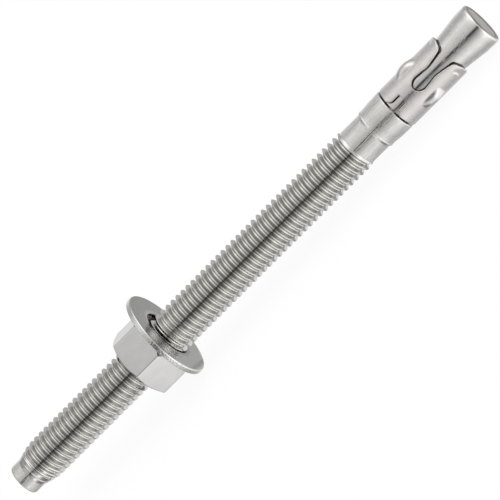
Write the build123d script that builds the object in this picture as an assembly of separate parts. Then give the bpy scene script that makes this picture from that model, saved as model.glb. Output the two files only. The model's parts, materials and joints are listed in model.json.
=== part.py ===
"""Stud-type wedge anchor, 1/2 in by 7 in: stud, expansion clip, flat washer and hex nut.

Every piece is drawn along +X from the anchor's tail, with the anchor's axis on the X axis.
lay_down() then turns the set as it comes to rest: on the washer's rim and the stud's head.
"""
from build123d import *
import os
from math import atan2, cos, degrees, radians, sin, tan

# ---- driving dimensions, in mm ------------------------------------------------------------
inch = 25.4

# Stud: stations run from the tail at x = 0 to the head's end face
anchor_length = 7 * inch
point_diameter = 9.53
point_length = 3.3
point_edge = 0.45            # rounding of the point's end
thread_diameter = 12.44      # major diameter of the rolled thread
thread_length = 5 * inch
thread_pitch = inch / 13
lead_in_length = 4.2         # cone between the point and the full thread
runout_length = 1.2          # cone between the full thread and the shank
shank_diameter = 11.40
collar_length = 7.52
collar_rear_diameter = 12.02
collar_middle_diameter = 12.46
collar_front_diameter = 12.64
collar_straight = 1.4        # length of the collar that keeps its rear diameter
collar_rise = 2.1            # length over which it grows to its middle diameter
collar_rear_edge = 0.8       # chamfer from the shank up to the collar
collar_front_edge = 0.18
cone_length = 6.95
cone_large_diameter = 12.56
head_diameter = 12.72
head_length = 4.3
head_flare = 2.2             # length over which the cone grows to the head's diameter
head_edge = 0.85             # rounding between the head and its end face
recess_diameter = 8.8
recess_depth = 0.35
recess_draft = 0.4           # how far the recess's wall leans in

# Expansion clip: a slit sheet sleeve, rolled round the neck
clip_length = 20.67
clip_outer_diameter = 12.76
sheet_thickness = 0.90
neck_clearance = 0.08        # radial, between the neck and the clip's inside
clip_end_gap = 0.36          # along the axis, between the collar and the clip
clip_over_cone = 0.20        # how far the fingertips reach past the foot of the cone
finger_count = 3
clip_turn = -2.5             # of a bump from straight up, in degrees
rear_slot_length = 3.95
rear_slot_width = 2.85
rear_slot_corner = 0.35
mouth_corner = 1.7           # rounding where a rear slot opens at the clip's end
bridge_length = 3.82         # the band left between a rear slot and a front slot
front_slot_turn = 3.0        # of a front slot from midway between two bumps, in degrees
bulb_radius = 2.18           # rounded closed end of a front slot
waist_width = 3.42
waist_share = 0.5            # of a front slot's length, from its closed end
flare_width = 4.56
flare_share = 0.75
finger_corner_width = 5.9    # of the slot, where the fingertips' slopes begin
finger_corner_radius = 1.1
tip_slope_length = 0.8       # along the axis, from that corner to the end of the tips
sheet_edge = 0.16            # broken outer edge of the sheet
bump_length = 6.5
bump_width = 3.9
bump_height = 1.0
bump_footing = 0.06          # how far the bump's sides reach down into the sheet
bump_station = 9.3           # from the clip's rear end to a bump's middle

# Flat washer
washer_diameter = 27.2
washer_hole_clearance = 1.76 # on the diameter, over the thread
washer_thickness = 1.55
washer_edge = 0.2            # broken corners of the punched ring
washer_seat_gap = 0.05       # under the thread, which lies on the bottom of the hole
washer_station = 58.58       # from the tail to the washer's bearing face

# Hex nut
nut_across_flats = 18.7
nut_height = 10.98
nut_bore_clearance = 0.06    # radial, over the thread's major diameter
nut_turn = 13.5              # of a corner from straight up, in degrees
countersink_width = 0.37     # radial, from the bore to the countersink's rim
countersink_depth = 0.4
nut_rear_chamfer_diameter = 17.5
nut_rear_chamfer_angle = 30.0
nut_front_chamfer_diameter = 18.9
nut_front_chamfer_angle = 55.0

# ---- worked out from them -------------------------------------------------------------------
thread_radius = thread_diameter / 2
clip_outer_radius = clip_outer_diameter / 2
clip_inner_radius = clip_outer_radius - sheet_thickness
neck_radius = clip_inner_radius - neck_clearance
head_radius = head_diameter / 2

cone_large_station = anchor_length - head_length
neck_front = cone_large_station - cone_length
clip_front = neck_front + clip_over_cone
clip_rear = clip_front - clip_length
collar_front = clip_rear - clip_end_gap
front_slot_rear = clip_rear + rear_slot_length + bridge_length
front_slot_length = clip_front - front_slot_rear
finger_corner_station = clip_front - tip_slope_length
bump_crown_radius = ((bump_width / 2) ** 2 + bump_height ** 2) / (2 * bump_height)
bump_spine_height = clip_outer_radius + bump_height - bump_crown_radius
collar_rear = collar_front - collar_length
thread_rear = point_length + lead_in_length
thread_front = point_length + thread_length

washer_radius = washer_diameter / 2
washer_hole_radius = (thread_diameter + washer_hole_clearance) / 2
washer_offset = washer_hole_radius - thread_radius - washer_seat_gap
washer_rear = washer_station - washer_thickness
nut_front = washer_rear
nut_rear = nut_front - nut_height

finger_pitch = 360 / finger_count
first_slot = finger_pitch / 2     # the rear slots lie midway between the bumps
half_finger = clip_outer_radius * radians(finger_pitch / 2)
cutter_overshoot = 1.0            # how far a cutting tool runs past what it cuts


def turned(outline, rounded=()):
    """Solid of revolution about the anchor's axis from (station, radius) points.

    rounded lists (point, radius) for the outline's corners that are rounded.
    """
    section = make_face(Polyline(*outline, close=True))
    for corner, radius in rounded:
        section = fillet(section.vertices().sort_by_distance(corner)[0], radius)
    return revolve(Plane.XZ * section, axis=Axis.X)


def stud():
    """One-piece stud: point, threaded length, shank, collar, neck, cone and head.

    The threaded length is a plain cylinder of the thread's major diameter.
    """
    point_corner = (0, point_diameter / 2)
    head_corner = (anchor_length, head_radius)
    return turned([
        (0, 0),
        point_corner,
        (point_length, point_diameter / 2),
        (thread_rear, thread_radius),
        (thread_front, thread_radius),
        (thread_front + runout_length, shank_diameter / 2),
        (collar_rear - collar_rear_edge, shank_diameter / 2),
        (collar_rear, collar_rear_diameter / 2),
        (collar_rear + collar_straight, collar_rear_diameter / 2),
        (collar_rear + collar_straight + collar_rise, collar_middle_diameter / 2),
        (collar_front - collar_front_edge, collar_front_diameter / 2),
        (collar_front, collar_front_diameter / 2 - collar_front_edge),
        (collar_front, neck_radius),
        (neck_front, neck_radius),
        (cone_large_station, cone_large_diameter / 2),
        (cone_large_station + head_flare, head_radius),
        head_corner,
        (anchor_length, recess_diameter / 2),
        (anchor_length - recess_depth, recess_diameter / 2 - recess_draft),
        (anchor_length - recess_depth, 0),
    ], rounded=[(point_corner, point_edge), (head_corner, head_edge)])


def curve_through(points):
    """A line through two points, an arc through three, a smooth curve through more."""
    if len(points) == 2:
        return Line(*points)
    if len(points) == 3:
        return ThreePointArc(*points)
    return Spline(*points)


def slot_cutter(outline):
    """Cutting tool with walls that point at the clip's axis, for a slot on top of the clip.

    outline is a closed list of curves on the sheet laid out flat. Each curve is a list of
    (station, distance round the clip) points, the distance taken on the clip's outer face.
    """
    wires = []
    for height in (clip_inner_radius / 2, 2 * clip_outer_radius):
        curves = [
            curve_through([
                (station, -height * tan(distance / clip_outer_radius), height)
                for station, distance in points
            ])
            for points in outline
        ]
        wires.append(Wire([curve.edge() for curve in curves]))
    return Solid.make_loft(wires, ruled=True)


def both_sides(half_outline):
    """Close a half outline, drawn at positive distances, with its mirror image."""
    mirrored = [
        [(station, -distance) for station, distance in reversed(points)]
        for points in reversed(half_outline)
    ]
    return half_outline + mirrored


def quarter_arc(start, corner, end):
    """Start, middle and end of the rounding that replaces a square corner."""
    blend = 1 - cos(radians(45))
    middle = tuple(
        c + (s - c) * blend + (e - c) * blend for s, c, e in zip(start, corner, end)
    )
    return [start, middle, end]


def rear_slot():
    """Slot with a square closed end, open at the clip's rear through a flared mouth."""
    closed = clip_rear + rear_slot_length
    half = rear_slot_width / 2
    mouth = half + mouth_corner
    behind = clip_rear - cutter_overshoot
    return slot_cutter(both_sides([
        [(closed, 0), (closed, half - rear_slot_corner)],
        quarter_arc((closed, half - rear_slot_corner), (closed, half),
                    (closed - rear_slot_corner, half)),
        [(closed - rear_slot_corner, half), (clip_rear + mouth_corner, half)],
        quarter_arc((clip_rear + mouth_corner, half), (clip_rear, half), (clip_rear, mouth)),
        [(clip_rear, mouth), (behind, mouth)],
        [(behind, mouth), (behind, 0)],
    ]))


def front_slot():
    """Slot from its rounded bulb past the waist to the fingertips, which it also shapes."""
    closed = front_slot_rear
    bulb = closed + bulb_radius
    waist = closed + waist_share * front_slot_length
    flare = closed + flare_share * front_slot_length
    corner = (finger_corner_station, finger_corner_width / 2)
    beyond = clip_front + cutter_overshoot
    return slot_cutter(both_sides([
        quarter_arc((closed, 0), (closed, bulb_radius), (bulb, bulb_radius)),
        [
            (bulb, bulb_radius),
            ((bulb + waist) / 2, (bulb_radius + waist_width / 2) / 2),
            (waist, waist_width / 2),
            (flare, flare_width / 2),
            corner,
        ],
        [corner, (clip_front, half_finger)],
        [(clip_front, half_finger), (beyond, half_finger)],
        [(beyond, half_finger), (beyond, 0)],
    ]))


def bump():
    """Bump on top of the clip: straight-sided, an arc across it and a parabola along it."""
    side_angle = (bump_width / 2 + bump_footing) / clip_outer_radius
    side_radius = clip_outer_radius - bump_footing
    side = (side_radius * sin(side_angle), side_radius * cos(side_angle))
    sections = []
    for share in (-1.1, -0.6, 0, 0.6, 1.1):     # past 1 its crown is under the sheet's face
        station = clip_rear + bump_station + share * bump_length / 2
        crown = clip_outer_radius + bump_height * (1 - share ** 2)
        outline = [
            ThreePointArc((-side[0], side[1]), (0, crown), side),
            Polyline(side, (side[0], clip_inner_radius / 2), (-side[0], clip_inner_radius / 2),
                     (-side[0], side[1])),
        ]
        across = Plane(origin=(station, 0, 0), x_dir=(0, 1, 0), z_dir=(1, 0, 0))
        sections.append(across * make_face(outline))
    return loft(sections)


def dimple():
    """Hollow pressed into the sheet behind a bump, a sheet's thickness under its crown."""
    half = (bump_length - sheet_thickness) / 2
    crown = half / 3
    radius = bump_crown_radius - sheet_thickness
    profile = Polyline((-half, 0), (-crown, radius), (crown, radius), (half, 0), close=True)
    hollow = revolve(Plane.XZ * make_face(profile), axis=Axis.X)
    return Pos(clip_rear + bump_station, 0, bump_spine_height) * hollow


def expansion_clip():
    """Sheet sleeve round the neck, slit from both ends into fingers with pressed bumps."""
    sleeve = turned([
        (clip_rear, clip_inner_radius),
        (clip_rear, clip_outer_radius - sheet_edge),
        (clip_rear + sheet_edge, clip_outer_radius),
        (clip_front, clip_outer_radius),
        (clip_front, clip_inner_radius),
    ])
    inside = turned([
        (clip_rear, 0), (clip_rear, clip_inner_radius),
        (clip_front, clip_inner_radius), (clip_front, 0),
    ])
    for finger in range(finger_count):
        turn = Rot(finger * finger_pitch, 0, 0)
        sleeve += turn * (bump() - inside)
        sleeve -= turn * dimple()
    for finger in range(finger_count):
        turn = Rot(first_slot + finger * finger_pitch, 0, 0)
        sleeve -= turn * rear_slot()
        sleeve -= turn * Rot(front_slot_turn, 0, 0) * front_slot()
    corners = finger_corner_edges(sleeve)
    return Rot(clip_turn, 0, 0) * fillet(corners, finger_corner_radius)


def finger_corner_edges(sleeve):
    """The short edges through the sheet where a front slot's side meets a fingertip's slope."""
    return sleeve.edges().filter_by(
        lambda edge: abs(edge.center().X - finger_corner_station) < sheet_edge
        and edge.length < 2 * sheet_thickness
    )


def flat_washer():
    """Punched washer, off centre: it stands on its rim, and the thread lies in its hole."""
    section = make_face(Polyline(
        (washer_rear, washer_hole_radius),
        (washer_rear, washer_radius),
        (washer_station, washer_radius),
        (washer_station, washer_hole_radius),
        close=True,
    ))
    section = chamfer(section.vertices(), washer_edge)
    return Pos(0, 0, washer_offset) * revolve(Plane.XZ * section, axis=Axis.X)


def hex_nut():
    """Hexagonal nut with both ends chamfered; its bore clears the thread's major diameter."""
    across_corners = nut_across_flats / cos(radians(30))
    bore_radius = thread_radius + nut_bore_clearance
    rear_drop = (across_corners - nut_rear_chamfer_diameter) / 2 * tan(radians(nut_rear_chamfer_angle))
    front_drop = (across_corners - nut_front_chamfer_diameter) / 2 * tan(radians(nut_front_chamfer_angle))
    hexagon = RegularPolygon(across_corners / 2, 6)
    prism = Pos(nut_rear, 0, 0) * Rot(0, 90, 0) * extrude(hexagon, nut_height)
    envelope = turned([
        (nut_rear, nut_rear_chamfer_diameter / 2),
        (nut_rear + rear_drop, across_corners / 2),
        (nut_front - front_drop, across_corners / 2),
        (nut_front, nut_front_chamfer_diameter / 2),
        (nut_front, bore_radius + countersink_width),
        (nut_front - countersink_depth, bore_radius),
        (nut_rear + countersink_depth, bore_radius),
        (nut_rear, bore_radius + countersink_width),
    ])
    return Rot(nut_turn, 0, 0) * (prism & envelope)


def lay_down(pieces):
    """Turn the set nose down until rim and head both touch the floor, and centre it there."""
    washer_low = (washer_station, washer_offset - washer_radius)
    head_low = (cone_large_station + head_flare, -head_radius)
    slope = atan2(head_low[1] - washer_low[1], head_low[0] - washer_low[0])
    tipped = {name: Rot(0, degrees(slope), 0) * piece for name, piece in pieces.items()}
    box = Compound(children=[piece.solid() for piece in tipped.values()]).bounding_box()
    move = Pos(-box.center().X, -box.center().Y, -box.min.Z)
    return {name: move * piece for name, piece in tipped.items()}


def main():
    pieces = {
        "stud": stud(),
        "expansion_clip": expansion_clip(),
        "flat_washer": flat_washer(),
        "hex_nut": hex_nut(),
    }
    os.makedirs("parts", exist_ok=True)
    for name, piece in lay_down(pieces).items():
        export_step(piece, f"parts/{name}.step")


if __name__ == "__main__":
    main()
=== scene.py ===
"""Wedge anchor at rest in a pale studio: stud, expansion clip, flat washer and hex nut.

Each piece is meshed from its own sizes on the anchor's axis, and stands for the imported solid
of the same name. Sizes are in millimetres: a station is a distance from the tail along the
axis, a radius is a distance from it, and a turn is an angle about it from straight up,
right-handed about the way from tail to head.
"""
import json
import logging
import math
from dataclasses import dataclass, replace
from enum import Enum
from typing import Any, Iterator, Sequence

import bmesh
import bpy
import numpy as np
from mathutils import Matrix, Vector
from mathutils.geometry import delaunay_2d_cdt


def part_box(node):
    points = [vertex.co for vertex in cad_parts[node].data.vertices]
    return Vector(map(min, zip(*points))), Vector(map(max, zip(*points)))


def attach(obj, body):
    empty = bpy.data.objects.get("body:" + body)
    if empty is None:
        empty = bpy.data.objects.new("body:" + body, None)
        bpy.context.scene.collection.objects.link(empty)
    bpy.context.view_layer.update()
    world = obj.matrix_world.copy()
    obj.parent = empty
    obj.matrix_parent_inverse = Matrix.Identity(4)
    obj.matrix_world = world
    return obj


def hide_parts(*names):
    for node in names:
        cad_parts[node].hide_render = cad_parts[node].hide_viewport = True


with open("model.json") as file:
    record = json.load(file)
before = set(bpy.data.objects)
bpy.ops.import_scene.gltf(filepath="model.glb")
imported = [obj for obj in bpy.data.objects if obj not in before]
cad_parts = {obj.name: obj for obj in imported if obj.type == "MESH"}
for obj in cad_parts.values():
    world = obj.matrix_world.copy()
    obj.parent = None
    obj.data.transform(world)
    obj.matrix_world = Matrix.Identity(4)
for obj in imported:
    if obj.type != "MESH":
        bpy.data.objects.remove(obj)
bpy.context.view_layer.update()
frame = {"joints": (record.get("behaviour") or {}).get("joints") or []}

logging.basicConfig(level=logging.INFO, format="%(message)s")
log = logging.getLogger("wedge_anchor")

MM = 0.001
CLIP_TURN_STATION = 156.415     # where the joint clip_turn lies along the axis
WASHER_RISE = 0.83              # of the washer's axis over the stud's
Colour = tuple[float, float, float]


# ---- where things are ------------------------------------------------------------------------
@dataclass(frozen=True)
class AnchorAxis:
    """The anchor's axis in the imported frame: the tail's middle and three square directions."""

    tail: Vector
    along: Vector
    side: Vector
    up: Vector

    @classmethod
    def from_joint(cls, joint: dict[str, Any], station: float) -> "AnchorAxis":
        """Find the axis from a joint that turns about it.

        Args:
            joint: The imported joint, with its axis and its place.
            station: The joint's station, in millimetres.

        Returns:
            The anchor's axis.
        """
        along = Vector(joint["axis"]).normalized()
        side = Vector((0.0, 1.0, 0.0))
        tail = Vector(joint["pos_m"]) - along * station * MM
        return cls(tail, along, side, along.cross(side))

    def raised(self, height: float) -> "AnchorAxis":
        """The parallel axis that lies higher by a height in millimetres."""
        return replace(self, tail=self.tail + self.up * height * MM)

    def outward(self, turn: float) -> Vector:
        """The direction away from the axis at a turn in radians."""
        return self.up * math.cos(turn) - self.side * math.sin(turn)

    def place(self, station: Any, radius: Any, turn: Any) -> np.ndarray:
        """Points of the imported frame, in metres.

        Args:
            station: Stations in millimetres, a number or an array.
            radius: Radii in millimetres, a number or an array.
            turn: Turns in radians, a number or an array.

        Returns:
            An array with the arguments' common shape and three coordinates.
        """
        x, r, t = np.broadcast_arrays(*(np.asarray(v, float) for v in (station, radius, turn)))
        parts = (
            (x, self.along), (r * np.cos(t), self.up), (-r * np.sin(t), self.side)
        )
        return np.array(self.tail) + MM * sum(a[..., None] * np.array(d) for a, d in parts)


# ---- meshes ----------------------------------------------------------------------------------
class MeshDraft:
    """Points and faces of one piece while it is being drawn."""

    def __init__(self) -> None:
        """Start with nothing drawn."""
        self._points: list[np.ndarray] = []
        self._faces: list[tuple[int, ...]] = []
        self._count = 0

    def add(self, points: np.ndarray) -> np.ndarray:
        """Add points.

        Args:
            points: An array whose last axis holds three coordinates in metres.

        Returns:
            The points' numbers, in the shape of the other axes.
        """
        shape = points.shape[:-1]
        numbers = np.arange(self._count, self._count + int(np.prod(shape))).reshape(shape)
        self._points.append(points.reshape(-1, 3))
        self._count += numbers.size
        return numbers

    def face(self, *corners: int) -> None:
        """Add a face through numbered points."""
        self._faces.append(tuple(int(c) for c in corners))

    def strip(self, first: np.ndarray, second: np.ndarray, closed: bool = True) -> None:
        """Join two rows of points with a row of four-sided faces.

        Args:
            first: The numbers of one row.
            second: The numbers of the other, as many.
            closed: True if the rows are rings.
        """
        count = len(first) if closed else len(first) - 1
        for k in range(count):
            n = (k + 1) % len(first)
            self.face(first[k], first[n], second[n], second[k])

    def rings(self, rows: Sequence[np.ndarray]) -> None:
        """Join each ring of points to the next."""
        for first, second in zip(rows, rows[1:]):
            self.strip(first, second)

    def cap(self, ring: np.ndarray, middle: np.ndarray) -> None:
        """Close a ring with triangles that meet in a new middle point.

        Args:
            ring: The numbers of the ring's points.
            middle: The new point, in metres.
        """
        centre = int(self.add(middle.reshape(1, 3))[0])
        for k in range(len(ring)):
            self.face(ring[k], ring[(k + 1) % len(ring)], centre)

    def build(self, name: str, steel: bpy.types.Material, sharp: float = 35.0,
              weld: float = 0.0) -> bpy.types.Object:
        """Make the object.

        Args:
            name: The piece's name.
            steel: Its material.
            sharp: Edges that bend by more than this, in degrees, stay sharp.
            weld: Points nearer than this, in millimetres, become one.

        Returns:
            The new object, in the scene.
        """
        mesh = bpy.data.meshes.new(name)
        mesh.from_pydata(np.concatenate(self._points).tolist(), [], self._faces)
        draft = bmesh.new()
        draft.from_mesh(mesh)
        if weld:
            bmesh.ops.remove_doubles(draft, verts=draft.verts, dist=weld * MM)
        unused = [vertex for vertex in draft.verts if not vertex.link_faces]
        bmesh.ops.delete(draft, geom=unused, context="VERTS")
        bmesh.ops.recalc_face_normals(draft, faces=draft.faces)
        draft.to_mesh(mesh)
        draft.free()
        mesh.materials.append(steel)
        mesh.shade_smooth()
        mesh.set_sharp_from_angle(angle=math.radians(sharp))
        piece = bpy.data.objects.new(name, mesh)
        bpy.context.scene.collection.objects.link(piece)
        return piece


@dataclass(frozen=True)
class Corner:
    """A corner of a turned profile, and the radius it is rounded with."""

    station: float
    radius: float
    rounding: float = 0.0


def rounded_profile(corners: Sequence[Corner], steps: int = 4) -> np.ndarray:
    """Round a profile's corners.

    Args:
        corners: The profile's corners in order. The first and the last stay as they are.
        steps: How many straight pieces make a rounding.

    Returns:
        Rows of station and radius, as many for any profile with the same rounded corners.
    """
    spots = [np.array((c.station, c.radius)) for c in corners]
    found = [spots[0]]
    for before, spot, after, corner in zip(spots, spots[1:], spots[2:], corners[1:]):
        if not corner.rounding:
            found.append(spot)
            continue
        back, ahead = before - spot, after - spot
        reach_back, reach_ahead = np.hypot(*back), np.hypot(*ahead)
        back, ahead = back / reach_back, ahead / reach_ahead
        half = math.acos(float(np.clip(back @ ahead, -1, 1))) / 2
        length = min(corner.rounding / math.tan(half), 0.49 * reach_back, 0.49 * reach_ahead)
        radius = length * math.tan(half)
        middle = spot + (back + ahead) / np.hypot(*(back + ahead)) * radius / math.sin(half)
        start, end = spot + back * length - middle, spot + ahead * length - middle
        sweep = math.pi - 2 * half
        for share in np.linspace(0, 1, steps + 1):
            weights = math.sin((1 - share) * sweep), math.sin(share * sweep)
            found.append(middle + (start * weights[0] + end * weights[1]) / math.sin(sweep))
    found.append(spots[-1])
    return np.array(found)


def soft_least(first: Any, second: Any, blend: float) -> np.ndarray:
    """The smaller of two heights, with the crease where they cross rounded over a blend."""
    share = np.clip(0.5 + 0.5 * (np.asarray(second) - first) / blend, 0, 1)
    return second * (1 - share) + first * share - blend * share * (1 - share)


def soft_most(first: Any, second: Any, blend: float) -> np.ndarray:
    """The larger of two heights, with the crease where they cross filled over a blend."""
    return -soft_least(-np.asarray(first), -np.asarray(second), blend)


# ---- shader nodes ----------------------------------------------------------------------------
class Wire:
    """The output of a node, which can stand in an expression on values."""

    def __init__(self, sheet: "NodeSheet", socket: bpy.types.NodeSocket | None) -> None:
        """Hold an output socket, if the node has one, and the node tree it belongs to."""
        self.sheet = sheet
        self.socket = socket

    def _math(self, operation: str, *values: "Value") -> "Wire":
        """Add a Math node that takes the values in order."""
        return self.sheet.node("ShaderNodeMath", {"operation": operation}, dict(enumerate(values)))

    def __add__(self, other: "Value") -> "Wire":
        """Sum."""
        return self._math("ADD", self, other)

    def __radd__(self, other: "Value") -> "Wire":
        """Sum, with the wire second."""
        return self._math("ADD", other, self)

    def __sub__(self, other: "Value") -> "Wire":
        """Difference."""
        return self._math("SUBTRACT", self, other)

    def __rsub__(self, other: "Value") -> "Wire":
        """Difference, with the wire second."""
        return self._math("SUBTRACT", other, self)

    def __mul__(self, other: "Value") -> "Wire":
        """Product."""
        return self._math("MULTIPLY", self, other)

    def __rmul__(self, other: "Value") -> "Wire":
        """Product, with the wire second."""
        return self._math("MULTIPLY", other, self)

    def __truediv__(self, other: "Value") -> "Wire":
        """Quotient."""
        return self._math("DIVIDE", self, other)

    def __rtruediv__(self, other: "Value") -> "Wire":
        """Quotient, with the wire second."""
        return self._math("DIVIDE", other, self)

    def __pow__(self, other: "Value") -> "Wire":
        """Power."""
        return self._math("POWER", self, other)

    def __rpow__(self, other: "Value") -> "Wire":
        """Power, with the wire second."""
        return self._math("POWER", other, self)

    def __abs__(self) -> "Wire":
        """Size without its sign."""
        return self._math("ABSOLUTE", self)

    def between(self, low: float, high: float) -> "Wire":
        """Rise smoothly from 0 at one value to 1 at another.

        Args:
            low: The value that gives 0.
            high: The value that gives 1, which may be the smaller.

        Returns:
            The share of the way, eased at both ends.
        """
        settings = {"interpolation_type": "SMOOTHSTEP"}
        limits = {"From Min": min(low, high), "From Max": max(low, high)}
        ends = {"To Min": float(low > high), "To Max": float(low < high)}
        return self.sheet.node("ShaderNodeMapRange", settings, {"Value": self, **limits, **ends})


Value = Wire | float


class NodeSheet:
    """A node tree that is filled node by node."""

    def __init__(self, tree: bpy.types.NodeTree) -> None:
        """Take a tree and empty it."""
        self.tree = tree
        self.tree.nodes.clear()

    def node(self, kind: str, settings: dict[str, Any] | None = None,
             sockets: dict[str | int, Any] | None = None, output: str | int = 0) -> Wire:
        """Add a node.

        Args:
            kind: The node's type.
            settings: Its settings, which come before its sockets. stops are a ramp's
                (place, colour) pairs.
            sockets: What its inputs hold: a wire, a number, a vector or a colour.
            output: Which of its outputs is wanted.

        Returns:
            That output.
        """
        node = self.tree.nodes.new(kind)
        for name, value in (settings or {}).items():
            if name == "stops":
                self._set_stops(node.color_ramp, value)
            else:
                setattr(node, name, value)
        for name, value in (sockets or {}).items():
            if isinstance(value, Wire):
                self.tree.links.new(value.socket, node.inputs[name])
            else:
                node.inputs[name].default_value = value
        return Wire(self, node.outputs[output] if len(node.outputs) else None)

    @staticmethod
    def _set_stops(ramp: bpy.types.ColorRamp, stops: Sequence[tuple[float, float]]) -> None:
        """Give a ramp grey stops.

        Args:
            ramp: The ramp.
            stops: Their places, which rise from 0 to 1, and their greys.
        """
        while len(ramp.elements) < len(stops):
            ramp.elements.new(1.0)
        for element, (place, grey) in zip(ramp.elements, stops):
            element.position = place
            element.color = (grey, grey, grey, 1.0)

    def dot(self, vector: Wire, direction: Sequence[float]) -> Wire:
        """The length of a vector along a direction."""
        return self.node("ShaderNodeVectorMath", {"operation": "DOT_PRODUCT"},
                         {0: vector, 1: tuple(direction)}, output="Value")

    def vector(self, x: Value, y: Value, z: Value) -> Wire:
        """A vector from its three parts."""
        return self.node("ShaderNodeCombineXYZ", None, {0: x, 1: y, 2: z})

    def noise(self, vector: Wire, detail: float) -> Wire:
        """Smooth noise around 0.5, with about one swell to a unit of the vector."""
        return self.node("ShaderNodeTexNoise", {"noise_dimensions": "3D"}, {
            "Vector": vector, "Scale": 1.0, "Detail": detail, "Roughness": 0.5})

    def blend(self, share: Value, first: Wire | Colour, second: Wire | Colour) -> Wire:
        """A colour between two, by a share from 0 to 1."""
        ends = {6: self._opaque(first), 7: self._opaque(second)}
        return self.node("ShaderNodeMix", {"data_type": "RGBA"}, {0: share, **ends}, output=2)

    def tint(self, colour: Wire, filter_colour: Colour, share: Value) -> Wire:
        """A colour seen through a filter.

        Args:
            colour: The colour.
            filter_colour: The filter's colour.
            share: How much of the filter there is, from 0 to 1.

        Returns:
            The filtered colour.
        """
        settings = {"data_type": "RGBA", "blend_type": "MULTIPLY"}
        ends = {6: colour, 7: self._opaque(filter_colour)}
        return self.node("ShaderNodeMix", settings, {0: share, **ends}, output=2)

    @staticmethod
    def _opaque(colour: Wire | Colour) -> Wire | tuple[float, ...]:
        """Give a plain colour the fourth number that a colour socket holds."""
        return colour if isinstance(colour, Wire) else (*colour, 1.0)


# ---- finishes --------------------------------------------------------------------------------
class Grain(Enum):
    """Which way the fine lines in a steel surface run."""

    LENGTHWISE = "along the axis"
    EVEN = "no way in particular"


class Pattern(Enum):
    """Where in the noise a look is taken from, so that no two looks line up."""

    LINES = 0.0
    PATCHES = 3.0
    DRIFT = 7.0
    RIPPLES = 11.0
    TEARS = 29.0
    DIE_MARKS = 41.0


@dataclass(frozen=True)
class Surface:
    """What a finish can tell about a point of a surface, in millimetres."""

    sheet: NodeSheet
    station: Wire
    high: Wire
    wide: Wire
    radius: Wire

    @classmethod
    def on(cls, sheet: NodeSheet, axis: AnchorAxis) -> "Surface":
        """Read a point's place against an axis.

        Args:
            sheet: The node tree that the place is worked out in.
            axis: The piece's axis.

        Returns:
            The place.
        """
        point = sheet.node("ShaderNodeTexCoord", output="Object")
        station, high, wide = (
            sheet.dot(point, direction) / MM - axis.tail.dot(direction) / MM
            for direction in (axis.along, axis.up, axis.side)
        )
        return cls(sheet, station, high, wide, (high ** 2.0 + wide ** 2.0) ** 0.5)

    def noise(self, pattern: Pattern, along: float, across: float, detail: float = 2.0) -> Wire:
        """Noise whose swells have given sizes.

        Args:
            pattern: What the noise is for.
            along: A swell's length along the axis, in millimetres.
            across: Its length square to the axis.
            detail: How many finer layers it has.

        Returns:
            Noise around 0.5.
        """
        shift = pattern.value
        place = self.sheet.vector(
            self.station / along + shift, self.high / across, self.wide / across + shift)
        return self.sheet.noise(place, detail)


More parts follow.
